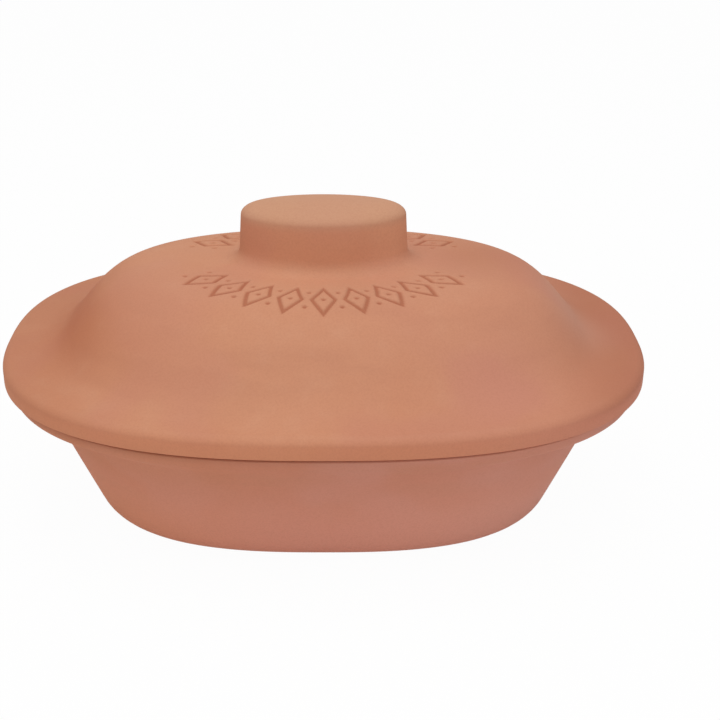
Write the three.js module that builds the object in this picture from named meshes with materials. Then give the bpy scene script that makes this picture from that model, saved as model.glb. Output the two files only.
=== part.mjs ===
// Oval clay roaster: a leaning dish and a domed lid with a hollow knob, both of unglazed fired clay.
// Millimetres, +Z up, +X along the length. The origin is on the table under the middle of the dish.
// Each piece is one loft of oval rings: from a pole on the axis out over the rim and back to a second pole.
import * as THREE from 'three';
import { NURBSCurve } from 'three/addons/curves/NURBSCurve.js';

// Plan of the ovals: exponents of the superellipse, where 2 is a plain ellipse
const RIM_SQUARENESS = 2.5;
const FOOT_SQUARENESS = 2.7;
const CROWN_SQUARENESS = 2.28;
const KNOB_SQUARENESS = 2;

// Dish, outside: the wall is a straight line from the foot to the mouth
const DISH_HEIGHT = 87.5;
const MOUTH_LENGTH = 329;
const MOUTH_WIDTH = 255.5;
const FOOT_LENGTH = 259;
const FOOT_WIDTH = 177;
const FOOT_ROUND = 25;
const FOOT_RING = 11;
const FOOT_HOLLOW = 1.2;
const FOOT_HOLLOW_SLOPE = 5;

// Dish, inside
const DISH_WALL = 8.5;
const DISH_FLOOR = 10;
const FLOOR_ROUND = 16;
const MOUTH_ROUND = 2;

// Flange round the dish's mouth: it reaches out at the ends, the grips, and fades along the sides.
// Its top falls away a little towards the edge, and below the edge the underside slopes down to the wall.
const FLANGE_END_REACH = 16;
const FLANGE_SIDE_REACH = 0.6;
const FLANGE_EDGE = 7.5;
const FLANGE_SLOPE = 5;
const FLANGE_UNDER_ROUND = 3.5;
const FLANGE_TOP_ACROSS = 4;
const FLANGE_TOP_DOWN = 1.4;
const FLANGE_FILLET = 2.5;

// Lid rim: it overhangs the flange at the ends and is flush with it along the sides.
// Its seat lies on the flange, and a lip drops into the mouth.
const OVERHANG_END = 4.5;
const OVERHANG_SIDE = 0.35;
const SEAT_GAP = 0.3;
const RIM_THICKNESS = 12.5;
const RIM_ROUND_ACROSS = 5;
const RIM_ROUND_DOWN = 4.5;
const RIM_UNDER_ROUND = 1;
const LIP_CLEARANCE = 2;
const LIP_DEPTH = 5;
const LIP_WIDTH = 8;
const LIP_ROUND = 1.5;

// Lid skin: four rings pull its curve into wings, flank, shoulder and crown.
// The lower three are set in from the rim, and the crown is set out from the knob's foot.
const DOME_HEIGHT = 59.4;
const BRIM_END_INSET = 25.5;
const BRIM_SIDE_INSET = 11;
const FLANK_END_INSET = 36.5;
const FLANK_SIDE_INSET = 29;
const FLANK_RISE = 5.9;
const SHOULDER_END_INSET = 61;
const SHOULDER_SIDE_INSET = 58.5;
const SHOULDER_DROP = 2.2;
const CROWN_END_REACH = 43;
const CROWN_SIDE_REACH = 22;
const CROWN_DROP = 0.6;
const LID_WALL = 8.5;

// Knob, hollow from below
const KNOB_LENGTH = 97;
const KNOB_WIDTH = 50.5;
const KNOB_HEIGHT = 35.3;
const KNOB_TAPER = 1.6;
const KNOB_FILLET = 8;
const KNOB_CROWN = 1.5;
const KNOB_END_ROUND = 11;
const KNOB_TOP_ROUND = 6.3;
const KNOB_WALL = 9;
const KNOB_HOLLOW_ROUND = 5;

// Fineness of the facets
const SEGMENTS = 64;
const ARC_STEPS = 4;
const SKIN_STEPS = 15;

const SEAT_HEIGHT = DISH_HEIGHT + SEAT_GAP;
const RIM_TOP = SEAT_HEIGHT + RIM_THICKNESS;
const DOME_TOP = SEAT_HEIGHT + DOME_HEIGHT;
const RIGHT_ANGLE = Math.PI / 2;

// A ring is a vector: half-length along X, half-width along Y, and height.
const ring = (halfLength, halfWidth, height) => new THREE.Vector3(halfLength, halfWidth, height);
const ringOf = (length, width, height) => ring(length / 2, width / 2, height);
const grown = (source, end, side, height) => ring(source.x + end, source.y + side, height);
const inset = (source, amount, height) => grown(source, -amount, -amount, height);
const pole = (height) => ring(0, 0, height);

// Fractions from just above 0 up to 1
function fractions(count) {
  return Array.from({ length: count }, (_, index) => (index + 1) / count);
}

// A corner bent along a parabola that leaves towards the corner and arrives from it
function roundedCorner(start, corner, end) {
  const bend = new THREE.QuadraticBezierCurve3(start, corner, end);
  return bend.getPoints(ARC_STEPS);
}

// A quarter round that falls from a flat top to an upright side, inside the outline
function quarterRound(outline, across, down, top) {
  return [0, ...fractions(ARC_STEPS)].map((share) => {
    const turn = share * RIGHT_ANGLE;
    return inset(outline, across * (1 - Math.sin(turn)), top - down * (1 - Math.cos(turn)));
  });
}

// The same quarter round turned over: it climbs from a flat underside to the upright side
function quarterRoundUnder(outline, round, bottom) {
  const upper = quarterRound(outline, round, round, 0);
  return upper.map((point) => ring(point.x, point.y, bottom - point.z));
}

// Superellipse outline of one ring, closed, anticlockwise seen from above
function ovalPoints(oval, squareness) {
  return Array.from({ length: SEGMENTS }, (_, index) => {
    const turn = (index / SEGMENTS) * 2 * Math.PI;
    const angle = Math.atan2(oval.y * Math.sin(turn), oval.x * Math.cos(turn));
    const along = Math.abs(Math.cos(angle) / oval.x) ** squareness;
    const across = Math.abs(Math.sin(angle) / oval.y) ** squareness;
    const reach = (along + across) ** (-1 / squareness);
    return new THREE.Vector3(reach * Math.cos(angle), reach * Math.sin(angle), oval.z);
  });
}

// Closed skin over a list of rings whose first and last members are poles
function loftRings(rings, squarenessAt) {
  const first = rings[0];
  const last = rings[rings.length - 1];
  const ovals = rings.slice(1, -1);
  const points = [first, ...ovals.flatMap((oval) => ovalPoints(oval, squarenessAt(oval.z))), last];
  const at = (row, column) => 1 + row * SEGMENTS + (column % SEGMENTS);
  const lastIndex = points.length - 1;
  const faces = [];
  for (let column = 0; column < SEGMENTS; column += 1) {
    const next = column + 1;
    faces.push(0, at(0, column), at(0, next));
    for (let row = 0; row < ovals.length - 1; row += 1) {
      faces.push(at(row, column), at(row + 1, column), at(row + 1, next));
      faces.push(at(row, column), at(row + 1, next), at(row, next));
    }
    faces.push(at(ovals.length - 1, next), at(ovals.length - 1, column), lastIndex);
  }
  const geometry = new THREE.BufferGeometry().setFromPoints(points);
  geometry.setIndex(faces);
  geometry.computeVertexNormals();
  return geometry;
}

// How far the dish's wall leans out for each millimetre of height, along X and along Y
const LEAN_X = (MOUTH_LENGTH - FOOT_LENGTH) / 2 / DISH_HEIGHT;
const LEAN_Y = (MOUTH_WIDTH - FOOT_WIDTH) / 2 / DISH_HEIGHT;

// Half-size of a leaning wall that an arc brings down onto a floor
function wallHalf(footHalf, lean, floor, radius, height) {
  const wallAngle = Math.atan2(1, lean);
  const tangent = radius * Math.tan(wallAngle / 2);
  const arcTop = floor + tangent * Math.sin(wallAngle);
  if (height >= arcTop) {
    return footHalf + lean * height;
  }
  const arcCentre = footHalf + lean * floor - tangent;
  const drop = height - floor - radius;
  return arcCentre + Math.sqrt(radius * radius - drop * drop);
}

// Ring of the dish's outer wall, and of its inner wall one wall thickness further in
function outerWall(height) {
  const halfLength = wallHalf(FOOT_LENGTH / 2, LEAN_X, 0, FOOT_ROUND, height);
  const halfWidth = wallHalf(FOOT_WIDTH / 2, LEAN_Y, 0, FOOT_ROUND, height);
  return ring(halfLength, halfWidth, height);
}

function innerWall(height) {
  const insetX = DISH_WALL * Math.hypot(1, LEAN_X);
  const insetY = DISH_WALL * Math.hypot(1, LEAN_Y);
  const halfLength = wallHalf(FOOT_LENGTH / 2 - insetX, LEAN_X, DISH_FLOOR, FLOOR_ROUND, height);
  const halfWidth = wallHalf(FOOT_WIDTH / 2 - insetY, LEAN_Y, DISH_FLOOR, FLOOR_ROUND, height);
  return ring(halfLength, halfWidth, height);
}

// Heights up an arc that starts flat on a floor
function arcHeights(floor, radius) {
  const turns = [0, ...fractions(ARC_STEPS + 1)].map((share) => share * RIGHT_ANGLE);
  return turns.map((turn) => floor + radius * (1 - Math.cos(turn)));
}

// Ring of the flange's edge: upright at the ends, while along the sides it follows the leaning wall
function flangeEdge(height) {
  const halfLength = MOUTH_LENGTH / 2 + FLANGE_END_REACH;
  return ring(halfLength, outerWall(height).y + FLANGE_SIDE_REACH, height);
}

// Floor, inner wall and mouth of the dish, from the pole on the inside floor to the rim
function dishInside() {
  const mouth = innerWall(DISH_HEIGHT);
  return [
    pole(DISH_FLOOR),
    ...arcHeights(DISH_FLOOR, FLOOR_ROUND).map(innerWall),
    ...roundedCorner(innerWall(DISH_HEIGHT - MOUTH_ROUND), mouth, inset(mouth, -MOUTH_ROUND, DISH_HEIGHT)),
  ];
}

// Flange, wall and underside of the dish, from the edge of the rim to the pole under the foot
function dishOutside() {
  const standing = outerWall(0);
  const ringInside = inset(standing, FOOT_RING, 0);
  const topEdge = flangeEdge(DISH_HEIGHT - FLANGE_TOP_DOWN);
  const lowEdge = flangeEdge(DISH_HEIGHT - FLANGE_EDGE);
  const wallTop = outerWall(lowEdge.z - FLANGE_SLOPE);
  const underside = (fromEdge) => lowEdge.clone().lerp(wallTop, fromEdge / (lowEdge.x - wallTop.x));
  const filletOut = underside(lowEdge.x - wallTop.x - FLANGE_FILLET);
  const filletDown = outerWall(wallTop.z - FLANGE_FILLET);
  return [
    ...quarterRound(topEdge, FLANGE_TOP_ACROSS, FLANGE_TOP_DOWN, DISH_HEIGHT),
    ...roundedCorner(flangeEdge(lowEdge.z + FLANGE_UNDER_ROUND), lowEdge, underside(FLANGE_UNDER_ROUND)),
    ...roundedCorner(filletOut, wallTop, filletDown),
    ...arcHeights(0, FOOT_ROUND).reverse().map(outerWall),
    ringInside,
    inset(ringInside, FOOT_HOLLOW_SLOPE, FOOT_HOLLOW),
    pole(FOOT_HOLLOW),
  ];
}

function dishSquareness(height) {
  return THREE.MathUtils.mapLinear(height, 0, DISH_HEIGHT, FOOT_SQUARENESS, RIM_SQUARENESS);
}

const RIM = grown(flangeEdge(DISH_HEIGHT), OVERHANG_END, OVERHANG_SIDE, SEAT_HEIGHT);
const KNOB_FOOT = ringOf(KNOB_LENGTH, KNOB_WIDTH, DOME_TOP);
const KNOB_TOP = inset(KNOB_FOOT, KNOB_TAPER, DOME_TOP + KNOB_HEIGHT);

// Lid skin: a clamped cubic spline of rings from the top of the rim up to the foot of the knob
function lidSkin() {
  const controls = [
    inset(RIM, RIM_ROUND_ACROSS, RIM_TOP),
    grown(RIM, -BRIM_END_INSET, -BRIM_SIDE_INSET, RIM_TOP),
    grown(RIM, -FLANK_END_INSET, -FLANK_SIDE_INSET, RIM_TOP + FLANK_RISE),
    grown(RIM, -SHOULDER_END_INSET, -SHOULDER_SIDE_INSET, DOME_TOP - SHOULDER_DROP),
    grown(KNOB_FOOT, CROWN_END_REACH, CROWN_SIDE_REACH, DOME_TOP - CROWN_DROP),
    KNOB_FOOT,
  ];
  const weighted = controls.map((control) => new THREE.Vector4(control.x, control.y, control.z, 1));
  const knots = [0, 0, 0, 0, 1 / 3, 2 / 3, 1, 1, 1, 1];
  return new NURBSCurve(3, knots, weighted);
}

// The skin's rings that stay clear of the knob's fillet, from the rim up
function skinRings(skin) {
  const fromFoot = (point) => Math.hypot(point.y - KNOB_FOOT.y, point.z - KNOB_FOOT.z);
  return skin.getPoints(SKIN_STEPS).filter((point) => fromFoot(point) > KNOB_FILLET);
}

// One ring moved in by the wall: it keeps the wall's thickness square to the skin along X and along Y
function shellRing(skin, share) {
  const point = skin.getPoint(share);
  const tangent = skin.getTangent(share);
  const slopeX = Math.atan2(tangent.z, -tangent.x);
  const slopeY = Math.atan2(tangent.z, -tangent.y);
  const drop = LID_WALL * Math.cos((slopeX + slopeY) / 2);
  const inwards = (slope) => (LID_WALL - drop * Math.cos(slope)) / Math.sin(slope);
  return ring(point.x - inwards(slopeX), point.y - inwards(slopeY), point.z - drop);
}

// Crowned top of the knob, its side, its foot and the skin, from the top pole out to the edge of the rim
function lidOutside(skin) {
  const rounding = quarterRound(KNOB_TOP, KNOB_END_ROUND, KNOB_TOP_ROUND, KNOB_TOP.z - KNOB_CROWN);
  const topEdge = rounding[0];
  const sideTop = rounding[rounding.length - 1];
  const sideShare = KNOB_FILLET / (sideTop.z - KNOB_FOOT.z);
  const sideBottom = KNOB_FOOT.clone().lerp(sideTop, sideShare);
  const dome = skinRings(skin).reverse();
  return [
    pole(KNOB_TOP.z),
    ring(topEdge.x / 2, topEdge.y / 2, KNOB_TOP.z - KNOB_CROWN / 4),
    ...rounding,
    ...roundedCorner(sideBottom, KNOB_FOOT, dome[0]),
    ...dome.slice(1, -1),
    ...quarterRound(RIM, RIM_ROUND_ACROSS, RIM_ROUND_DOWN, RIM_TOP),
    ...quarterRoundUnder(RIM, RIM_UNDER_ROUND, SEAT_HEIGHT).reverse(),
  ];
}

// Locating lip: it follows the dish's inner wall down from the seat at a set clearance
function lidLip() {
  const lipBottom = SEAT_HEIGHT - LIP_DEPTH;
  const outerTop = inset(innerWall(DISH_HEIGHT), LIP_CLEARANCE, SEAT_HEIGHT);
  const outerBottom = inset(innerWall(lipBottom), LIP_CLEARANCE, lipBottom);
  const innerBottom = inset(outerBottom, LIP_WIDTH, lipBottom);
  const outerSide = outerBottom.clone().lerp(outerTop, LIP_ROUND / LIP_DEPTH);
  return [
    outerTop,
    ...roundedCorner(outerSide, outerBottom, inset(outerBottom, LIP_ROUND, lipBottom)),
    ...roundedCorner(
      inset(innerBottom, -LIP_ROUND, lipBottom),
      innerBottom,
      inset(innerBottom, 0, lipBottom + LIP_ROUND),
    ),
  ];
}

// Hollow of the lid from the lip to the foot of the knob, one wall thickness under the skin
function lidHollow(skin, lipInside) {
  const shell = fractions(SKIN_STEPS).map((share) => shellRing(skin, share));
  const hollowFoot = inset(KNOB_FOOT, KNOB_WALL - KNOB_HOLLOW_ROUND, 0);
  const insideLip = (point) => point.x < lipInside.x && point.y < lipInside.y && point.z > lipInside.z;
  const outsideKnob = (point) => point.x > hollowFoot.x && point.y > hollowFoot.y;
  return shell.filter((point) => insideLip(point) && outsideKnob(point));
}

// Hollow of the knob, from its rounded mouth in the lid's ceiling to the pole under its roof
function knobHollow(ceiling) {
  const mouth = inset(KNOB_FOOT, KNOB_WALL, ceiling);
  const roof = KNOB_TOP.z - KNOB_WALL;
  const top = inset(KNOB_TOP, KNOB_WALL, roof);
  const side = mouth.clone().lerp(top, KNOB_HOLLOW_ROUND / (roof - ceiling));
  return [
    ...roundedCorner(inset(mouth, -KNOB_HOLLOW_ROUND, ceiling), mouth, side),
    ...quarterRound(top, KNOB_HOLLOW_ROUND, KNOB_HOLLOW_ROUND, roof).reverse(),
    pole(roof),
  ];
}

// Squareness of the lid's ovals: it eases up the dome, and once more up the fillet at the knob's foot
function lidSquareness(height) {
  const upTheDome = THREE.MathUtils.clamp((height - RIM_TOP) / (DOME_TOP - SHOULDER_DROP - RIM_TOP), 0, 1);
  const upTheFillet = THREE.MathUtils.clamp((height - DOME_TOP) / KNOB_FILLET, 0, 1);
  const onTheDome = THREE.MathUtils.lerp(RIM_SQUARENESS, CROWN_SQUARENESS, upTheDome);
  return THREE.MathUtils.lerp(onTheDome, KNOB_SQUARENESS, upTheFillet);
}

function lidRings() {
  const skin = lidSkin();
  const lip = lidLip();
  const hollow = lidHollow(skin, lip[lip.length - 1]);
  const ceiling = hollow[hollow.length - 1].z;
  return [...lidOutside(skin), ...lip, ...hollow, ...knobHollow(ceiling)];
}

// Unglazed fired clay, a little redder on the dish
const clay = (colour) => new THREE.MeshStandardMaterial({ color: colour, roughness: 0.85, metalness: 0 });

function piece(name, geometry, material) {
  const mesh = new THREE.Mesh(geometry, material);
  mesh.name = name;
  return mesh;
}

const roaster = new THREE.Group();
const dishRings = [...dishInside(), ...dishOutside()];
roaster.add(piece('base', loftRings(dishRings, dishSquareness), clay(0xcd8567)));
roaster.add(piece('lid', loftRings(lidRings(), lidSquareness), clay(0xce8b69)));

export default roaster;
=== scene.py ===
"""Looks of an oval clay roaster: a leaning dish and a domed lid with a knob, in unglazed fired clay.

Both pieces repeat the CAD model's ovals with many more of them, and the lid adds an impressed ornament.
Sizes are in millimetres and become metres when a mesh is made. +Z is up and +X runs along the length.
"""

import bpy
import numpy as np
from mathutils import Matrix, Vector


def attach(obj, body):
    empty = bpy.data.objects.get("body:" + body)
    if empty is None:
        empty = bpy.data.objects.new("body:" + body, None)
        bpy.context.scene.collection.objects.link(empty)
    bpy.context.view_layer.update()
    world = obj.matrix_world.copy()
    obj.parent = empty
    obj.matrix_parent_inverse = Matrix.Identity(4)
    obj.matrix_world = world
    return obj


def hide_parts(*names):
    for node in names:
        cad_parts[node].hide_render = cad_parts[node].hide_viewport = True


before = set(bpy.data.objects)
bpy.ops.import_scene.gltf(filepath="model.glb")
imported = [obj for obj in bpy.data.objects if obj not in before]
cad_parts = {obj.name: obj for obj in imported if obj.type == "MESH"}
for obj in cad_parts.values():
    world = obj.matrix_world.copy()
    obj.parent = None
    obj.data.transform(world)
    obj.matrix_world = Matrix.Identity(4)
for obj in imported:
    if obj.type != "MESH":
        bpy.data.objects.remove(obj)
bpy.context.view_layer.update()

METRE = 1000.0

# Plan of the ovals: exponents of the superellipse, where 2 is a plain ellipse
RIM_SQUARENESS = 2.5
FOOT_SQUARENESS = 2.7
CROWN_SQUARENESS = 2.28
KNOB_SQUARENESS = 2.0

# Dish
DISH_HEIGHT = 87.5
MOUTH_LENGTH, MOUTH_WIDTH = 329.0, 255.5
FOOT_LENGTH, FOOT_WIDTH = 259.0, 177.0
FOOT_ROUND = 25.0
FOOT_RING = 11.0
FOOT_HOLLOW, FOOT_HOLLOW_SLOPE = 1.2, 5.0
DISH_WALL, DISH_FLOOR = 8.5, 10.0
FLOOR_ROUND, MOUTH_ROUND = 16.0, 2.0
FLANGE_END_REACH, FLANGE_SIDE_REACH = 16.0, 0.6
FLANGE_EDGE, FLANGE_SLOPE = 7.5, 5.0
FLANGE_UNDER_ROUND, FLANGE_FILLET = 3.5, 2.5
FLANGE_TOP_ACROSS, FLANGE_TOP_DOWN = 4.0, 1.4

# Lid
OVERHANG_END, OVERHANG_SIDE = 4.5, 0.35
SEAT_HEIGHT = DISH_HEIGHT + 0.3
RIM_TOP = SEAT_HEIGHT + 12.5
RIM_ROUND_ACROSS, RIM_ROUND_DOWN, RIM_UNDER_ROUND = 5.0, 4.5, 1.0
LIP_CLEARANCE, LIP_DEPTH, LIP_WIDTH, LIP_ROUND = 2.0, 5.0, 8.0, 1.5
DOME_TOP = SEAT_HEIGHT + 59.4
BRIM_END_INSET, BRIM_SIDE_INSET = 25.5, 11.0
FLANK_END_INSET, FLANK_SIDE_INSET, FLANK_RISE = 36.5, 29.0, 5.9
SHOULDER_END_INSET, SHOULDER_SIDE_INSET, SHOULDER_DROP = 61.0, 58.5, 2.2
CROWN_END_REACH, CROWN_SIDE_REACH, CROWN_DROP = 43.0, 22.0, 0.6
LID_WALL = 8.5

# Knob
KNOB_LENGTH, KNOB_WIDTH, KNOB_HEIGHT = 97.0, 50.5, 35.3
KNOB_TAPER, KNOB_FILLET, KNOB_CROWN = 1.6, 8.0, 1.5
KNOB_END_ROUND, KNOB_TOP_ROUND = 11.0, 6.3
KNOB_WALL, KNOB_HOLLOW_ROUND = 9.0, 5.0

# Impressed ornament: lozenges on an ellipse round the knob, on the front and on the rear of the dome
ORNAMENT_REACH_X, ORNAMENT_REACH_Y = 77.0, 53.4
ORNAMENT_BAND = (33.0, 68.0)
LOZENGE_COUNT, LOZENGE_PITCH = 9, 18.0
LOZENGE_HALF_WIDTH, LOZENGE_HALF_HEIGHT = 6.4, 11.2
GROOVE_HALF_WIDTH, GROOVE_DEPTH = 1.6, 1.3
DOT_RADIUS, GAP_DOT_OFFSET = 1.9, 0.6 * LOZENGE_HALF_HEIGHT

# Painted shade in the hollows at the foot of the dome, at the two ends
HOLLOW_SHIFT, HOLLOW_WIDTH = 7.0, 16.0

# Painted shadow: a darker strip on the edge of the dish's flange, just under the lid
SEAM_DEPTH = 3.4

# Fineness of the meshes: turns round the ovals, distance between the lid's rings, samples along curves
DISH_TURNS = 288
LID_FRONT_TURNS, LID_END_TURNS = 250, 34
LID_FRONT_HALF_ARC = np.radians(66.0)
SKIN_STEP, ORNAMENT_STEP = 3.0, 0.72
SKIN_SAMPLES, ORNAMENT_SAMPLES = 4001, 721

# Tones of the clay on a screen, 0 to 255: body, warm clouds, pale mottling and edges, pink end
DISH_TONES = [(203, 134, 109), (201, 130, 103), (211, 148, 123), (208, 146, 129)]
LID_TONES = [(207, 145, 113), (204, 139, 106), (214, 160, 130), (201, 136, 112)]
STREAK_BROWN = (191, 131, 103)
GRAIN_DARK = (170, 100, 73)

# Finish of the clay: roughness, specular level, and the strength and height, in metres, of its bump
CLAY_ROUGHNESS, CLAY_SPECULAR = 0.78, 0.2
BUMP_STRENGTH, BUMP_HEIGHT = 0.25, 0.0005

# Shades of the dish, in the same screen values: a paler foot, which is painted bounce light from the
# floor, a pink blush, a brown tone, and a painted shadow under the lid
FOOT_PAINTED_LIGHT_ORANGE, FOOT_PAINTED_LIGHT_PINK = (223, 149, 116), (225, 155, 133)
END_BLUSH = (224, 168, 152)
UNDER_RIM_BROWN = (203, 134, 97)
SEAM_PAINTED_SHADOW = (140, 78, 54)

# Shades of the lid, in the same screen values: painted bounce light on the rim and knob side, painted
# fill light on the knob's end, painted sheen on its top and the crown, darker wings, and painted shade
# in the hollow and the grooves
RIM_PAINTED_BOUNCE_RED, RIM_PAINTED_BOUNCE_PINK = (216, 138, 102), (214, 137, 113)
KNOB_END_PAINTED_LIGHT, KNOB_TOP_PAINTED_SHEEN = (232, 168, 132), (203, 158, 127)
CROWN_PAINTED_SHEEN = (210, 158, 128)
WING_DARK, HOLLOW_PAINTED_SHADE, GROOVE_PAINTED_SHADE = (156, 87, 54), (178, 92, 52), (168, 98, 70)

# Heights between which one shade of the lid gives way to another
RIM_FADE, WING_FADE = (94.0, 101.0), (91.0, 99.0)
CROWN_FADE_IN, CROWN_FADE_OUT = (141.0, 147.0), (148.0, 153.0)
KNOB_FADE_IN, KNOB_FADE_OUT = (150.0, 158.0), (170.0, 178.0)
KNOB_TOP_FADE = (170.0, 180.0)

# Soft round spots on the +X side of the lid, brown, pale and pink: centre, radius, strength and tone.
# The brown one beside the knob is painted shade; the pale and pink ones are tones of the clay
LID_SPOTS = [
    ((90.0, 12.0, 138.0), 52.0, 0.42, (178, 112, 82)),
    ((138.0, -5.0, 112.0), 46.0, 0.38, (216, 168, 148)),
    ((95.0, -85.0, 108.0), 45.0, 0.3, (206, 139, 122)),
]

# Camera at the photograph's view, in degrees and metres
CAMERA_ELEVATION, CAMERA_DISTANCE = 25.0, 0.782
CAMERA_TARGET = (0.0, 0.0, 0.0968)

# Sensor and lens in millimetres, and the lens's shift as a share of the picture's side
SENSOR_WIDTH, LENS_LENGTH = 36.0, 66.1
LENS_SHIFT_X, LENS_SHIFT_Y = 0.0507, -0.0301

# Soft square lamps: name, place, target, size in metres, power in watts
LAMPS = [
    ("top_softbox", (-0.06, -0.28, 1.5), (0.0, 0.0, 0.1), 1.2, 11.6),
    ("front_fill", (0.0, -1.4, 0.3), (0.0, 0.0, 0.08), 1.8, 3.05),
]

# Studio: light from all round, and the floor's own grey, glow and half-size in metres
WORLD_LEVEL = 0.45
FLOOR_GREY, FLOOR_GLOW, FLOOR_HALF_SIZE = 0.9, 0.97, 4.0
WHITE = (1.0, 1.0, 1.0, 1.0)


def ring(half_length, half_width, height):
    """One oval of a piece: half-length along X, half-width along Y, height."""
    return np.array([half_length, half_width, height])


def grown(source, end, side, height):
    """The same oval, larger by one amount at its ends and another at its sides, at another height."""
    return ring(source[0] + end, source[1] + side, height)


def inset(source, amount, height):
    """The same oval, smaller by one amount all round, at another height."""
    return grown(source, -amount, -amount, height)


def line_rings(start, end, shares):
    """Rings on the straight line between two rings, at the given shares of the way."""
    return start + np.asarray(shares)[:, None] * (end - start)


def rounded_corner(start, corner, end, steps=8):
    """Rings on a parabola: (1-s)^2 of the start, 2s(1-s) of the corner and s^2 of the end."""
    share = np.linspace(0.0, 1.0, steps + 1)[:, None]
    return (1 - share) ** 2 * start + 2 * share * (1 - share) * corner + share**2 * end


def quarter_round(outline, across, down, top, steps=8):
    """Rings of a quarter ellipse from a flat top to an upright side.

    Each lies in by 1 - sin and down by 1 - cos of its turn.
    """
    turn = np.linspace(0.0, np.pi / 2, steps + 1)
    set_in = across * (1 - np.sin(turn))
    heights = top - down * (1 - np.cos(turn))
    return np.stack([outline[0] - set_in, outline[1] - set_in, heights], axis=1)


def quarter_round_under(outline, radius, bottom, steps):
    """A quarter circle turned over: rings from the upright side down to a flat underside."""
    upper = quarter_round(outline, radius, radius, 0.0, steps)
    upper[:, 2] = bottom - upper[:, 2]
    return upper[::-1]


LEAN_X = (MOUTH_LENGTH - FOOT_LENGTH) / 2 / DISH_HEIGHT
LEAN_Y = (MOUTH_WIDTH - FOOT_WIDTH) / 2 / DISH_HEIGHT


def wall_half(foot_half, lean, floor, radius, heights):
    """Half-size of a leaning wall at each height: a straight line, and an arc down onto the floor."""
    wall_angle = np.arctan2(1.0, lean)
    tangent = radius * np.tan(wall_angle / 2)
    arc_top = floor + tangent * np.sin(wall_angle)
    arc_centre = foot_half + lean * floor - tangent
    drop = np.minimum(heights - floor - radius, 0.0)
    on_arc = arc_centre + np.sqrt(np.maximum(radius**2 - drop**2, 0.0))
    return np.where(heights >= arc_top, foot_half + lean * heights, on_arc)


def outer_wall(heights):
    """Rings of the dish's outer wall at the given heights."""
    heights = np.asarray(heights, float)
    half_length = wall_half(FOOT_LENGTH / 2, LEAN_X, 0.0, FOOT_ROUND, heights)
    half_width = wall_half(FOOT_WIDTH / 2, LEAN_Y, 0.0, FOOT_ROUND, heights)
    return np.stack([half_length, half_width, heights], axis=-1)


def inner_wall(heights):
    """Rings of the dish's inner wall: the outer line moved in by the wall, square to its lean."""
    heights = np.asarray(heights, float)
    foot_x = FOOT_LENGTH / 2 - DISH_WALL * np.hypot(1.0, LEAN_X)
    foot_y = FOOT_WIDTH / 2 - DISH_WALL * np.hypot(1.0, LEAN_Y)
    half_length = wall_half(foot_x, LEAN_X, DISH_FLOOR, FLOOR_ROUND, heights)
    half_width = wall_half(foot_y, LEAN_Y, DISH_FLOOR, FLOOR_ROUND, heights)
    return np.stack([half_length, half_width, heights], axis=-1)


def arc_heights(floor, radius, steps=14):
    """Heights up a quarter arc that starts flat on a floor."""
    return floor + radius * (1 - np.cos(np.linspace(0.0, np.pi / 2, steps + 1)))


def flange_edge(height):
    """Ring of the flange's edge: upright at the ends, and leaning with the wall along the sides."""
    return ring(MOUTH_LENGTH / 2 + FLANGE_END_REACH, outer_wall(height)[1] + FLANGE_SIDE_REACH, height)


RIM = grown(flange_edge(DISH_HEIGHT), OVERHANG_END, OVERHANG_SIDE, SEAT_HEIGHT)
KNOB_FOOT = ring(KNOB_LENGTH / 2, KNOB_WIDTH / 2, DOME_TOP)
KNOB_TOP = inset(KNOB_FOOT, KNOB_TAPER, DOME_TOP + KNOB_HEIGHT)


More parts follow.
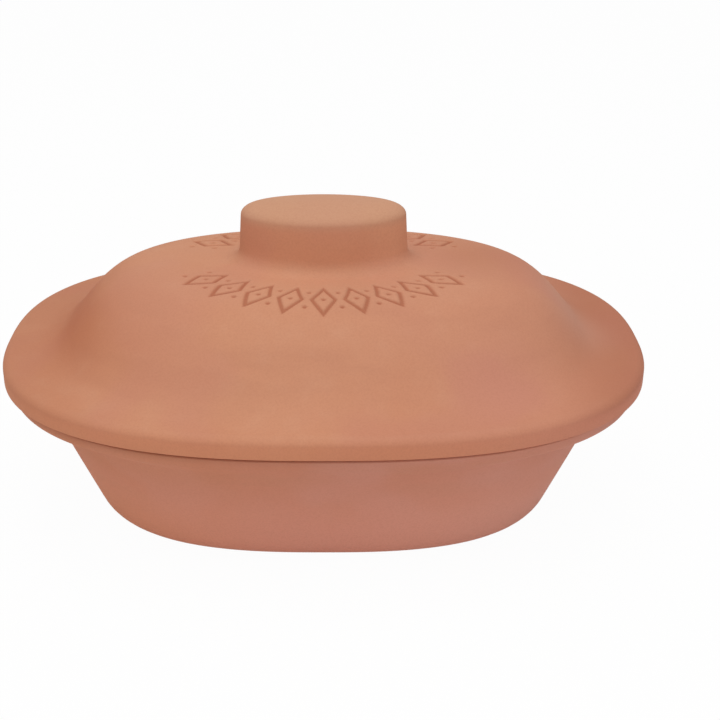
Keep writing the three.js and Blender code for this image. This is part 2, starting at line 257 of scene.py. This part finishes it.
def dish_rings():
    """Rings of the dish from its inside floor over the flange to its underside, without the two poles."""
    floor_edge = inner_wall(DISH_FLOOR)
    mouth = inner_wall(DISH_HEIGHT)
    mouth_low = inner_wall(DISH_HEIGHT - MOUTH_ROUND)
    mouth_out = inset(mouth, -MOUTH_ROUND, DISH_HEIGHT)
    standing = outer_wall(0.0)
    ring_inside = inset(standing, FOOT_RING, 0.0)
    hollow_edge = inset(ring_inside, FOOT_HOLLOW_SLOPE, FOOT_HOLLOW)
    top_edge = flange_edge(DISH_HEIGHT - FLANGE_TOP_DOWN)
    low_edge = flange_edge(DISH_HEIGHT - FLANGE_EDGE)
    wall_top = outer_wall(DISH_HEIGHT - FLANGE_EDGE - FLANGE_SLOPE)
    overhang = low_edge[0] - wall_top[0]
    under_shares = [FLANGE_UNDER_ROUND / overhang, 1 - FLANGE_FILLET / overhang]
    under_start, fillet_out = line_rings(low_edge, wall_top, under_shares)
    fillet_down = outer_wall(wall_top[2] - FLANGE_FILLET)
    flange_top = quarter_round(top_edge, FLANGE_TOP_ACROSS, FLANGE_TOP_DOWN, DISH_HEIGHT)
    flange_low = rounded_corner(flange_edge(low_edge[2] + FLANGE_UNDER_ROUND), low_edge, under_start)
    floor_pole = ring(0.0, 0.0, DISH_FLOOR)
    under_pole = ring(0.0, 0.0, FOOT_HOLLOW)
    wall_heights = np.linspace(FLOOR_ROUND + DISH_FLOOR, DISH_HEIGHT - MOUTH_ROUND, 12)
    outer_heights = np.linspace(fillet_down[2], FOOT_ROUND, 14)
    return np.concatenate([
        line_rings(floor_pole, floor_edge, [0.1, 0.35, 0.65, 0.9]),
        inner_wall(arc_heights(DISH_FLOOR, FLOOR_ROUND)),
        inner_wall(wall_heights[1:-1]),
        rounded_corner(mouth_low, mouth, mouth_out),
        line_rings(mouth_out, flange_top[0], [0.1, 0.9]),
        flange_top,
        line_rings(flange_top[-1], flange_low[0], [0.25, 0.5, 0.75]),
        flange_low,
        line_rings(flange_low[-1], fillet_out, [0.1, 0.5, 0.9]),
        rounded_corner(fillet_out, wall_top, fillet_down),
        outer_wall(outer_heights[1:-1]),
        outer_wall(arc_heights(0.0, FOOT_ROUND)[::-1]),
        line_rings(standing, ring_inside, [0.1, 0.9, 1.0]),
        line_rings(ring_inside, hollow_edge, [0.15, 0.5, 0.85, 1.0]),
        line_rings(hollow_edge, under_pole, [0.05, 0.35, 0.65, 0.9]),
    ])


SKIN_CONTROLS = np.array([
    inset(RIM, RIM_ROUND_ACROSS, RIM_TOP),
    grown(RIM, -BRIM_END_INSET, -BRIM_SIDE_INSET, RIM_TOP),
    grown(RIM, -FLANK_END_INSET, -FLANK_SIDE_INSET, RIM_TOP + FLANK_RISE),
    grown(RIM, -SHOULDER_END_INSET, -SHOULDER_SIDE_INSET, DOME_TOP - SHOULDER_DROP),
    grown(KNOB_FOOT, CROWN_END_REACH, CROWN_SIDE_REACH, DOME_TOP - CROWN_DROP),
    KNOB_FOOT,
])
SKIN_DEGREE = 3
SKIN_KNOTS = np.array([0, 0, 0, 0, 1 / 3, 2 / 3, 1, 1, 1, 1])


def spline_basis(shares, degree, knots):
    """Weights of a clamped spline's controls: each degree blends two weights of the one before."""
    weights = ((shares >= knots[:-1]) & (shares < knots[1:])).astype(float)
    for order in range(1, degree + 1):
        rise = knots[order:-1] - knots[: -order - 1]
        fall = knots[order + 1 :] - knots[1:-order]
        up = (shares - knots[: -order - 1]) / np.where(rise > 0, rise, 1.0)
        down = (knots[order + 1 :] - shares) / np.where(fall > 0, fall, 1.0)
        weights = up * (rise > 0) * weights[:, :-1] + down * (fall > 0) * weights[:, 1:]
    return weights


def lid_skin(shares):
    """Rings of the lid's skin from the top of the rim, at share 0, up to the knob's foot, at share 1."""
    clipped = np.clip(np.asarray(shares, float), 0.0, 1.0 - 1e-9)[:, None]
    return spline_basis(clipped, SKIN_DEGREE, SKIN_KNOTS) @ SKIN_CONTROLS


def skin_shares():
    """Shares that space the skin's rings evenly, and closer in the band that carries the ornament."""
    fine = np.linspace(0.0, 1.0, SKIN_SAMPLES)
    rings = lid_skin(fine)
    from_foot = np.hypot(rings[:, 1] - KNOB_FOOT[1], rings[:, 2] - KNOB_FOOT[2])
    kept = from_foot > KNOB_FILLET
    fine = fine[kept]
    rings = rings[kept]
    lengths = np.linalg.norm(np.diff(rings[:, 1:], axis=0), axis=1)
    half_width = (rings[1:, 1] + rings[:-1, 1]) / 2
    in_band = (half_width > ORNAMENT_BAND[0]) & (half_width < ORNAMENT_BAND[1])
    steps = lengths / np.where(in_band, ORNAMENT_STEP, SKIN_STEP)
    counted = np.concatenate([[0.0], np.cumsum(steps)])
    wanted = np.linspace(0.0, counted[-1], int(np.ceil(counted[-1])) + 1)
    return np.interp(wanted, counted, fine)


def shell_rings(shares):
    """Rings one wall thickness under the skin: moved in and down so that the wall is square to it."""
    shares = np.asarray(shares, float)
    step = 1e-4
    tangent = lid_skin(np.minimum(shares + step, 1.0)) - lid_skin(shares - step)
    points = lid_skin(shares)
    slope_x = np.arctan2(tangent[:, 2], -tangent[:, 0])
    slope_y = np.arctan2(tangent[:, 2], -tangent[:, 1])
    drop = LID_WALL * np.cos((slope_x + slope_y) / 2)
    in_x = (LID_WALL - drop * np.cos(slope_x)) / np.sin(slope_x)
    in_y = (LID_WALL - drop * np.cos(slope_y)) / np.sin(slope_y)
    return points - np.stack([in_x, in_y, drop], axis=1)


def lid_outside_rings():
    """Rings of the knob, the dome and the rim, from the knob's top out to the flat seat."""
    crown_edge = KNOB_TOP[2] - KNOB_CROWN
    rounding = quarter_round(KNOB_TOP, KNOB_END_ROUND, KNOB_TOP_ROUND, crown_edge, steps=9)
    top_edge = rounding[0]
    side_top = rounding[-1]
    side_bottom = KNOB_FOOT + KNOB_FILLET / (side_top[2] - KNOB_FOOT[2]) * (side_top - KNOB_FOOT)
    crown_share = np.array([0.08, 0.3, 0.55, 0.8, 0.95])
    crown = np.stack([
        crown_share * top_edge[0],
        crown_share * top_edge[1],
        KNOB_TOP[2] - KNOB_CROWN * crown_share**2,
    ], axis=1)
    dome = lid_skin(skin_shares())[::-1]
    rim_top = quarter_round(RIM, RIM_ROUND_ACROSS, RIM_ROUND_DOWN, RIM_TOP, steps=9)
    rim_low = quarter_round_under(RIM, RIM_UNDER_ROUND, SEAT_HEIGHT, steps=5)
    return np.concatenate([
        crown,
        rounding,
        line_rings(side_top, side_bottom, [0.3, 0.7]),
        rounded_corner(side_bottom, KNOB_FOOT, dome[0]),
        dome[1:-1],
        rim_top,
        line_rings(rim_top[-1], rim_low[0], [0.5]),
        rim_low,
    ])


def lid_lip_rings():
    """Rings of the locating lip: from the seat it follows the dish's inner wall at a clearance."""
    lip_bottom = SEAT_HEIGHT - LIP_DEPTH
    outer_top = inset(inner_wall(DISH_HEIGHT), LIP_CLEARANCE, SEAT_HEIGHT)
    outer_bottom = inset(inner_wall(lip_bottom), LIP_CLEARANCE, lip_bottom)
    inner_bottom = inset(outer_bottom, LIP_WIDTH, lip_bottom)
    outer_side = outer_bottom + LIP_ROUND / LIP_DEPTH * (outer_top - outer_bottom)
    outer_end = inset(outer_bottom, LIP_ROUND, lip_bottom)
    inner_start = inset(inner_bottom, -LIP_ROUND, lip_bottom)
    inner_end = inset(inner_bottom, 0.0, lip_bottom + LIP_ROUND)
    return np.concatenate([
        line_rings(RIM, outer_top, [0.2, 0.9, 1.0]),
        line_rings(outer_top, outer_side, [0.15]),
        rounded_corner(outer_side, outer_bottom, outer_end, steps=4),
        rounded_corner(inner_start, inner_bottom, inner_end, steps=4),
    ])


def lid_hollow_rings(lip_inside):
    """Rings of the lid's hollow between the lip and the knob's own hollow."""
    shell = shell_rings(np.linspace(0.02, 1.0, 26))
    hollow_foot = inset(KNOB_FOOT, KNOB_WALL - KNOB_HOLLOW_ROUND, 0.0)
    above_lip = shell[:, 2] > lip_inside[2]
    inside_lip = (shell[:, 0] < lip_inside[0]) & (shell[:, 1] < lip_inside[1])
    outside_knob = (shell[:, 0] > hollow_foot[0]) & (shell[:, 1] > hollow_foot[1])
    return shell[above_lip & inside_lip & outside_knob]


def knob_hollow_rings(ceiling):
    """Rings of the knob's hollow, from its rounded mouth up to the edge of its roof."""
    mouth = inset(KNOB_FOOT, KNOB_WALL, ceiling)
    roof = KNOB_TOP[2] - KNOB_WALL
    top = inset(KNOB_TOP, KNOB_WALL, roof)
    side = mouth + KNOB_HOLLOW_ROUND / (roof - ceiling) * (top - mouth)
    roof_edge = quarter_round(top, KNOB_HOLLOW_ROUND, KNOB_HOLLOW_ROUND, roof, steps=5)[::-1]
    return np.concatenate([
        rounded_corner(inset(mouth, -KNOB_HOLLOW_ROUND, ceiling), mouth, side, steps=5),
        roof_edge,
        line_rings(roof_edge[-1], ring(0.0, 0.0, roof), [0.1, 0.6]),
    ])


def lid_rings():
    """Rings of the lid from the knob's top round the rim to the knob's hollow, without the two poles."""
    lip = lid_lip_rings()
    hollow = lid_hollow_rings(lip[-1])
    return np.concatenate([lid_outside_rings(), lip, hollow, knob_hollow_rings(hollow[-1, 2])])


def dish_squareness(heights):
    """Exponent of the dish's ovals: it falls evenly from the foot to the rim."""
    return FOOT_SQUARENESS + (RIM_SQUARENESS - FOOT_SQUARENESS) * heights / DISH_HEIGHT


def lid_squareness(heights):
    """Exponent of the lid's ovals: it eases up the dome, and again up the fillet at the knob's foot."""
    up_the_dome = np.clip((heights - RIM_TOP) / (DOME_TOP - SHOULDER_DROP - RIM_TOP), 0.0, 1.0)
    up_the_fillet = np.clip((heights - DOME_TOP) / KNOB_FILLET, 0.0, 1.0)
    on_the_dome = RIM_SQUARENESS + (CROWN_SQUARENESS - RIM_SQUARENESS) * up_the_dome
    return on_the_dome + (KNOB_SQUARENESS - on_the_dome) * up_the_fillet


def even_turns(count):
    """Turns round an oval in equal steps."""
    return np.arange(count) * 2 * np.pi / count


def lid_turns():
    """Turns round the lid: close together across front and rear, wider apart round the two ends."""
    half_arc = LID_FRONT_HALF_ARC
    front = np.linspace(-half_arc, half_arc, LID_FRONT_TURNS, endpoint=False)
    end = np.linspace(half_arc, np.pi - half_arc, LID_END_TURNS, endpoint=False)
    half_way_round = np.concatenate([front, end]) - np.pi / 2
    return np.concatenate([half_way_round, half_way_round + np.pi])


def oval_grid(rings, squareness, turns):
    """Points of every ring: the superellipse |x/a|^n + |y/b|^n = 1, met by rays from its middle.

    The ray for a turn t lies at the angle atan2(b sin t, a cos t).
    """
    half_length = rings[:, 0:1]
    half_width = rings[:, 1:2]
    exponent = squareness[:, None]
    angle = np.arctan2(half_width * np.sin(turns), half_length * np.cos(turns))
    along = np.abs(np.cos(angle) / half_length) ** exponent
    across = np.abs(np.sin(angle) / half_width) ** exponent
    reach = (along + across) ** (-1 / exponent)
    heights = np.broadcast_to(rings[:, 2:3], reach.shape)
    return np.stack([reach * np.cos(angle), reach * np.sin(angle), heights], axis=-1)


def grid_normals(points):
    """Outward unit normals of a grid: the cross product of its steps down columns and round rings."""
    down = np.gradient(points, axis=0)
    around = np.roll(points, -1, axis=1) - np.roll(points, 1, axis=1)
    normals = np.cross(down, around)
    return normals / np.maximum(np.linalg.norm(normals, axis=-1, keepdims=True), 1e-12)


def profile_bend(points):
    """How sharply each column of a grid turns, in radians per millimetre: above 0 where it bulges out."""
    out = np.hypot(points[..., 0], points[..., 1])
    steps_out = np.diff(out, axis=0)
    steps_up = np.diff(points[..., 2], axis=0)
    lengths = np.maximum(np.hypot(steps_out, steps_up), 1e-6)
    heading = np.unwrap(np.arctan2(steps_up, steps_out), axis=0)
    bend = -np.diff(heading, axis=0) / ((lengths[1:] + lengths[:-1]) / 2)
    flat = np.zeros((1, points.shape[1]))
    return np.concatenate([flat, bend, flat])


def groove_depth(distance, half_width):
    """Depth share of a pressed groove: (1 - (d/w)^2)^2 within its half-width and nothing beyond."""
    return np.maximum(1 - (distance / half_width) ** 2, 0.0) ** 2


def ornament_press(points):
    """Share of the full depth pressed into each point: dotted lozenges, with pairs of dots between.

    Local coordinates follow an ellipse round the knob: one runs along it from the middle of the front or
    rear, the other is the plan distance from it.
    """
    across_x = points[..., 0] / ORNAMENT_REACH_X
    across_y = np.abs(points[..., 1]) / ORNAMENT_REACH_Y
    level = np.maximum(np.hypot(across_x, across_y), 1e-6)
    slope = np.hypot(across_x / ORNAMENT_REACH_X, across_y / ORNAMENT_REACH_Y) / level
    off_line = (level - 1) / slope
    turns = np.linspace(-np.pi / 2, np.pi / 2, ORNAMENT_SAMPLES)
    middle = (turns[1:] + turns[:-1]) / 2
    speed = np.hypot(ORNAMENT_REACH_X * np.cos(middle), ORNAMENT_REACH_Y * np.sin(middle))
    lengths = np.concatenate([[0.0], np.cumsum(speed * np.diff(turns))])
    lengths = lengths - lengths[-1] / 2
    along = np.interp(np.arctan2(across_x, across_y), turns, lengths)
    last = (LOZENGE_COUNT - 1) // 2
    index = np.clip(np.round(along / LOZENGE_PITCH), -last, last)
    beside = np.abs(along - index * LOZENGE_PITCH)
    edge = beside / LOZENGE_HALF_WIDTH + np.abs(off_line) / LOZENGE_HALF_HEIGHT - 1
    edge = edge / np.hypot(1 / LOZENGE_HALF_WIDTH, 1 / LOZENGE_HALF_HEIGHT)
    lozenge = groove_depth(edge, GROOVE_HALF_WIDTH)
    centre_dot = groove_depth(np.hypot(beside, off_line), DOT_RADIUS)
    from_gap_dot = np.hypot(beside - LOZENGE_PITCH / 2, np.abs(off_line) - GAP_DOT_OFFSET)
    gap_dots = groove_depth(from_gap_dot, DOT_RADIUS)
    return np.max([lozenge, centre_dot, gap_dots], axis=0)


def closed_shell(name, points, first_pole, last_pole, attributes):
    """A mesh piece over a grid that closes round its rings, with a fan to a pole at each end.

    Attributes are arrays with one number for each grid point, and the poles take the nearest ring's mean.
    """
    rows, columns = points.shape[:2]
    index = np.arange(rows * columns).reshape(rows, columns)
    following = np.roll(index, -1, axis=1)
    quads = np.stack([index[:-1], index[1:], following[1:], following[:-1]], axis=-1).reshape(-1, 4)
    top = rows * columns
    bottom = top + 1
    first_fan = np.stack([np.full(columns, top), index[0], following[0]], axis=-1)
    last_fan = np.stack([np.full(columns, bottom), following[-1], index[-1]], axis=-1)
    vertices = np.concatenate([points.reshape(-1, 3), [first_pole], [last_pole]]) / METRE
    mesh = bpy.data.meshes.new(name)
    mesh.from_pydata(vertices.tolist(), [], quads.tolist() + first_fan.tolist() + last_fan.tolist())
    mesh.polygons.foreach_set("use_smooth", np.ones(len(mesh.polygons), bool))
    for label, values in attributes.items():
        ends = [values[0].mean(), values[-1].mean()]
        layer = mesh.attributes.new(label, "FLOAT", "POINT")
        layer.data.foreach_set("value", np.concatenate([values.ravel(), ends]).astype(np.float32))
    mesh.update()
    piece = bpy.data.objects.new(name, mesh)
    bpy.context.scene.collection.objects.link(piece)
    return piece


def make_dish():
    """The dish: one closed shell over its rings, whose painted seam shadow fades down the flange's edge.
    """
    rings = dish_rings()
    points = oval_grid(rings, dish_squareness(rings[:, 2]), even_turns(DISH_TURNS))
    bend = profile_bend(points)
    # Where the painted shadow under the lid lies: on the flange's edge, fading down from its top
    on_edge = rings[:, 0] > flange_edge(DISH_HEIGHT)[0] - FLANGE_TOP_ACROSS / 2
    below_top = (DISH_HEIGHT - points[..., 2]) / SEAM_DEPTH
    seam = on_edge[:, None] * np.exp(-(below_top**2))
    poles = [(0.0, 0.0, DISH_FLOOR), (0.0, 0.0, FOOT_HOLLOW)]
    return closed_shell("roasting_dish", points, *poles, {"bend": bend, "seam": seam})


def end_hollows(points, rings):
    """Share of painted shade in the hollow at the dome's foot: a bell across the ring, and 1 only at the
    two ends.
    """
    from_foot = (RIM[0] - FLANK_END_INSET - HOLLOW_SHIFT - rings[:, 0:1]) / HOLLOW_WIDTH
    towards_end = np.abs(points[..., 0]) / rings[:, 0:1]
    return np.exp(-(from_foot**2)) * towards_end**4


def make_lid():
    """The lid: one closed shell over its rings, with the ornament pressed in along the outer normals."""
    rings = lid_rings()
    points = oval_grid(rings, lid_squareness(rings[:, 2]), lid_turns())
    outside = np.arange(len(rings)) < len(lid_outside_rings())
    on_dome = outside & (rings[:, 2] > RIM_TOP) & (rings[:, 2] < DOME_TOP)
    bend = profile_bend(points)
    press = ornament_press(points) * on_dome[:, None]
    points = points - GROOVE_DEPTH * press[..., None] * grid_normals(points)
    poles = [(0.0, 0.0, KNOB_TOP[2]), (0.0, 0.0, KNOB_TOP[2] - KNOB_WALL)]
    # Where the painted shade in the hollows at the dome's foot lies
    hollow = end_hollows(points, rings) * outside[:, None]
    return closed_shell("domed_lid", points, *poles, {"bend": bend, "press": press, "hollow": hollow})


class Wire:
    """A socket on its way through a node tree: sums, differences and products add Math nodes."""

    def __init__(self, socket):
        self.socket = socket

    @classmethod
    def add(cls, tree, kind, settings=None, sockets=None, output=0):
        """Adds one node, its settings first, then the values or links of its sockets."""
        node = tree.nodes.new(kind)
        for label, value in (settings or {}).items():
            setattr(node, label, value)
        for label, value in (sockets or {}).items():
            if isinstance(value, Wire):
                tree.links.new(value.socket, node.inputs[label])
            else:
                node.inputs[label].default_value = value
        return cls(node.outputs[output])

    def maths(self, operation, first, second, clamp=False):
        """One Math node on two wires or numbers."""
        settings = {"operation": operation, "use_clamp": clamp}
        return Wire.add(self.socket.id_data, "ShaderNodeMath", settings, {0: first, 1: second})

    def __add__(self, other):
        return self.maths("ADD", self, other)

    def __radd__(self, other):
        return self.maths("ADD", other, self)

    def __sub__(self, other):
        return self.maths("SUBTRACT", self, other)

    def __rsub__(self, other):
        return self.maths("SUBTRACT", other, self)

    def __mul__(self, other):
        return self.maths("MULTIPLY", self, other)

    def __rmul__(self, other):
        return self.maths("MULTIPLY", other, self)

    def clamped(self):
        """The same value kept between 0 and 1."""
        return self.maths("ADD", self, 0.0, clamp=True)

    def over(self, low, high):
        """A smooth step: 0 below the low value and 1 above the high one."""
        settings = {"interpolation_type": "SMOOTHSTEP"}
        sockets = {"Value": self, "From Min": low, "From Max": high, "To Min": 0.0, "To Max": 1.0}
        return Wire.add(self.socket.id_data, "ShaderNodeMapRange", settings, sockets)

    def mixing(self, first, second):
        """A colour: the first where this share is 0, the second where it is 1."""
        settings = {"data_type": "RGBA", "blend_type": "MIX"}
        sockets = {0: self, 6: first, 7: second}
        return Wire.add(self.socket.id_data, "ShaderNodeMix", settings, sockets, output=2)

    def tinting(self, colour, tone, strength):
        """The colour turned towards a screen tone, by this share times the strength."""
        return (self * strength).mixing(colour, linear(*tone))


class ClaySurface:
    """What a clay material reads from its piece: places in millimetres, attributes, spots and noise."""

    def __init__(self, tree):
        self.tree = tree
        self.place = self.node("ShaderNodeTexCoord", output=3)
        metres_along = self.node("ShaderNodeSeparateXYZ", sockets={0: self.place})
        metres_up = Wire(metres_along.socket.node.outputs[2])
        self.along = metres_along * METRE
        self.up = metres_up * METRE

    def node(self, kind, settings=None, sockets=None, output=0):
        """Adds one node to the material."""
        return Wire.add(self.tree, kind, settings, sockets, output)

    def attribute(self, label):
        """A number that the mesh carries at each point."""
        return self.node("ShaderNodeAttribute", {"attribute_name": label}, output=2)

    def spot(self, centre, radius):
        """A soft round spot: 1 at its centre and 0 from its radius outwards."""
        sockets = {0: self.place, 1: [value / METRE for value in centre]}
        away = self.node("ShaderNodeVectorMath", {"operation": "DISTANCE"}, sockets, output=1)
        return 1 - (away * METRE).over(0.0, radius)

    def flattened(self, times):
        """The place with its heights stretched, so that noise on it lies in level streaks."""
        sockets = {0: self.place, 1: (1.0, 1.0, times)}
        return self.node("ShaderNodeVectorMath", {"operation": "MULTIPLY"}, sockets)

    def noise(self, scale, detail, roughness=0.5, place=None):
        """Smooth noise about one half, with so many lumps in a metre."""
        vector = place or self.place
        sockets = {"Vector": vector, "Scale": scale, "Detail": detail, "Roughness": roughness}
        return self.node("ShaderNodeTexNoise", sockets=sockets)


def linear(red, green, blue):
    """A colour written as it looks on a screen, 0 to 255, turned into the renderer's linear values."""
    shares = np.array([red, green, blue]) / 255.0
    values = np.where(shares <= 0.04045, shares / 12.92, ((shares + 0.055) / 1.055) ** 2.4)
    return (*values.tolist(), 1.0)


def dish_shades(colour, surface):
    """Shades of the dish's clay: paler at the foot as painted floor light, pinker at the +X end, browner
    under the rim at -X.

    The dark line under the lid is painted shadow, and it fades towards +X.
    """
    along, up = surface.along, surface.up
    # Painted bounce light from the floor: the clay turns paler towards the foot, orange at -X and pinker
    # at +X
    foot = along.over(-140.0, 0.0).mixing(linear(*FOOT_PAINTED_LIGHT_ORANGE), linear(*FOOT_PAINTED_LIGHT_PINK))
    colour = (1 - up.over(5.0, 85.0)).mixing(colour, foot)
    blush = along.over(0.0, 140.0) * (1 - up.over(15.0, 60.0))
    colour = blush.tinting(colour, END_BLUSH, strength=0.4)
    brown = (0 - along).over(-30.0, 120.0) * up.over(45.0, 80.0)
    colour = brown.tinting(colour, UNDER_RIM_BROWN, strength=0.55)
    # Painted shadow under the lid's rim, fading towards +X
    seam = surface.attribute("seam") * (1 - along.over(-150.0, 100.0))
    return seam.tinting(colour, SEAM_PAINTED_SHADOW, strength=0.42)


def lid_shades(colour, surface):
    """Shades of the lid's clay: redder rim and knob side as painted bounce light, paler knob and
    crown as painted sheen, a paler +X knob end as painted fill light, darker wings, and grooves
    darkened by painted shade.

    The hollow at the -X end is darker with painted shade. On the +X side lie a brown spot of
    painted shade by the knob, a pale one on the flank and a pink one on the front of the wing.
    """
    along, up = surface.along, surface.up
    # Painted bounce light: the upright rim and the knob's side turn redder, and pinker towards +X
    rim_side = 1 - up.over(*RIM_FADE)
    knob_side = up.over(*KNOB_FADE_IN) * (1 - up.over(*KNOB_FADE_OUT))
    red = along.over(30.0, 150.0).mixing(linear(*RIM_PAINTED_BOUNCE_RED), linear(*RIM_PAINTED_BOUNCE_PINK))
    colour = (rim_side * 0.6 + knob_side * 0.3).mixing(colour, red)
    # Painted fill light on the +X end of the knob's side
    knob_end = knob_side * along.over(18.0, 42.0)
    colour = knob_end.tinting(colour, KNOB_END_PAINTED_LIGHT, strength=0.35)
    # Painted sheen: the knob's flat top and the crown round its foot turn paler
    colour = up.over(*KNOB_TOP_FADE).tinting(colour, KNOB_TOP_PAINTED_SHEEN, strength=0.6)
    crown = up.over(*CROWN_FADE_IN) * (1 - up.over(*CROWN_FADE_OUT))
    colour = crown.tinting(colour, CROWN_PAINTED_SHEEN, strength=0.2)
    wings = along.over(115.0, 170.0) * 0.38 + (0 - along).over(100.0, 170.0) * 0.2
    colour = (wings * up.over(*WING_FADE)).mixing(colour, linear(*WING_DARK))
    # Painted shade in the hollow at the foot of the dome, at the -X end only
    hollow = surface.attribute("hollow") * (0 - along).over(-50.0, 50.0)
    colour = hollow.tinting(colour, HOLLOW_PAINTED_SHADE, strength=0.5)
    # The first spot, brown beside the knob, is painted shade
    for centre, radius, strength, tone in LID_SPOTS:
        colour = surface.spot(centre, radius).tinting(colour, tone, strength)
    # Painted shade in the pressed grooves of the ornament
    groove = surface.attribute("press").over(0.05, 0.9)
    return groove.tinting(colour, GROOVE_PAINTED_SHADE, strength=0.7)


def fired_clay(name, tones, shades):
    """Unglazed fired clay: kiln clouds, mottling, level streaks, fine grain and pits, paler worn edges.

    The clay turns pinker towards the +X end, and each piece adds shades of its own, painted light and
    shade among them.
    """
    body, warm, pale, pink = tones
    material = bpy.data.materials.new(name)
    material.use_nodes = True
    tree = material.node_tree
    shader = tree.nodes["Principled BSDF"]
    surface = ClaySurface(tree)

    clouds = surface.noise(scale=11.0, detail=2.0)
    patches = surface.noise(scale=19.0, detail=1.0)
    mottle = surface.noise(scale=70.0, detail=3.0, roughness=0.55)
    streaks = surface.noise(scale=14.0, detail=2.0, place=surface.flattened(6.0))
    grain = surface.noise(scale=900.0, detail=2.0, roughness=0.6)
    pit_sockets = {"Vector": surface.place, "Scale": 420.0}
    pits = surface.node("ShaderNodeTexVoronoi", {"feature": "F1"}, pit_sockets)
    edges = surface.attribute("bend")

    colour = clouds.over(0.42, 0.68).tinting(linear(*body), warm, strength=0.7)
    colour = mottle.over(0.45, 0.75).tinting(colour, pale, strength=0.2)
    colour = streaks.over(0.48, 0.7).tinting(colour, STREAK_BROWN, strength=0.28)
    pinkness = surface.along.over(-40.0, 200.0) * 0.6 + patches.over(0.45, 0.65) * 0.4
    colour = pinkness.mixing(colour, linear(*pink))
    colour = edges.over(0.1, 0.5).tinting(colour, pale, strength=0.2)
    colour = shades(colour, surface)
    colour = (1 - grain.over(0.3, 0.62)).tinting(colour, GRAIN_DARK, strength=0.12)
    tree.links.new(colour.socket, shader.inputs["Base Color"])

    roughness = CLAY_ROUGHNESS + 0.12 * grain - 0.05 * clouds
    tree.links.new(roughness.socket, shader.inputs["Roughness"])
    shader.inputs["Specular IOR Level"].default_value = CLAY_SPECULAR
    relief = grain * 0.5 + mottle * 0.6 - (1 - pits.over(0.05, 0.3)) * 0.35
    bump_sockets = {"Strength": BUMP_STRENGTH, "Distance": BUMP_HEIGHT, "Height": relief}
    bump = surface.node("ShaderNodeBump", sockets=bump_sockets)
    tree.links.new(bump.socket, shader.inputs["Normal"])
    return material


def seen_share(tree):
    """1 on rays from the camera, from gloss and through glass, and 0 on rays that light the object."""
    path = Wire.add(tree, "ShaderNodeLightPath").socket.node
    camera = Wire(path.outputs["Is Camera Ray"])
    glossy = Wire(path.outputs["Is Glossy Ray"])
    transmission = Wire(path.outputs["Is Transmission Ray"])
    return (camera + glossy + transmission).clamped()


def whiten_floor(floor):
    """Makes the floor look white to the camera, while it still keeps the object's shadow."""
    material = bpy.data.materials.new("studio_floor")
    material.use_nodes = True
    tree = material.node_tree
    tree.nodes.remove(tree.nodes["Principled BSDF"])
    share = seen_share(tree) * FLOOR_GLOW
    grey = (FLOOR_GREY, FLOOR_GREY, FLOOR_GREY, 1.0)
    plain = Wire.add(tree, "ShaderNodeBsdfDiffuse", sockets={"Color": grey})
    bright = Wire.add(tree, "ShaderNodeEmission", sockets={"Color": WHITE, "Strength": 1.0})
    mixed = Wire.add(tree, "ShaderNodeMixShader", sockets={0: share, 1: plain, 2: bright})
    tree.links.new(mixed.socket, tree.nodes["Material Output"].inputs["Surface"])
    floor.data.materials.append(material)


def make_world():
    """A world that looks white to the camera and lights the object from all round at its own level."""
    world = bpy.data.worlds.new("studio")
    bpy.context.scene.world = world
    world.use_nodes = True
    tree = world.node_tree
    background = tree.nodes["Background"]
    strength = seen_share(tree) * (1 - WORLD_LEVEL) + WORLD_LEVEL
    tree.links.new(strength.socket, background.inputs["Strength"])
    background.inputs["Color"].default_value = WHITE


def make_floor():
    """A flat square sheet under the object, worked out as a grid of two parameters."""
    side = np.array([-FLOOR_HALF_SIZE, 0.0, FLOOR_HALF_SIZE])
    across, along = np.meshgrid(side, side, indexing="ij")
    vertices = np.stack([across, along, np.zeros_like(across)], axis=-1).reshape(-1, 3)
    index = np.arange(across.size).reshape(across.shape)
    quads = np.stack([index[:-1, :-1], index[1:, :-1], index[1:, 1:], index[:-1, 1:]], axis=-1)
    mesh = bpy.data.meshes.new("studio_floor")
    mesh.from_pydata(vertices.tolist(), [], quads.reshape(-1, 4).tolist())
    floor = bpy.data.objects.new("studio_floor", mesh)
    bpy.context.scene.collection.objects.link(floor)
    return floor


def aim(thing, place, target):
    """Puts a camera or lamp at a place, facing a target."""
    thing.location = place
    thing.rotation_euler = (Vector(target) - Vector(place)).to_track_quat("-Z", "Y").to_euler()
    bpy.context.scene.collection.objects.link(thing)


def make_camera():
    """The photograph's view: from the front, at its height above the table."""
    lens = bpy.data.cameras.new("camera")
    lens.sensor_width = SENSOR_WIDTH
    lens.lens = LENS_LENGTH
    lens.shift_x = LENS_SHIFT_X
    lens.shift_y = LENS_SHIFT_Y
    camera = bpy.data.objects.new("camera", lens)
    elevation = np.radians(CAMERA_ELEVATION)
    forward = CAMERA_DISTANCE * np.cos(elevation)
    above = CAMERA_DISTANCE * np.sin(elevation)
    aim(camera, (0.0, -forward, CAMERA_TARGET[2] + above), CAMERA_TARGET)
    bpy.context.scene.camera = camera


def soft_lamp(name, place, target, size, power):
    """A square soft light."""
    lamp = bpy.data.lights.new(name, "AREA")
    lamp.size = size
    lamp.energy = power
    aim(bpy.data.objects.new(name, lamp), place, target)


make_camera()
make_world()
whiten_floor(make_floor())
for lamp in LAMPS:
    soft_lamp(*lamp)

dish = make_dish()
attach(dish, "base")
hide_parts("base")
dish.data.materials.append(fired_clay("dish_clay", DISH_TONES, dish_shades))

lid = make_lid()
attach(lid, "lid")
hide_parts("lid")
lid.data.materials.append(fired_clay("lid_clay", LID_TONES, lid_shades))

bpy.context.scene.view_settings.view_transform = "Standard"
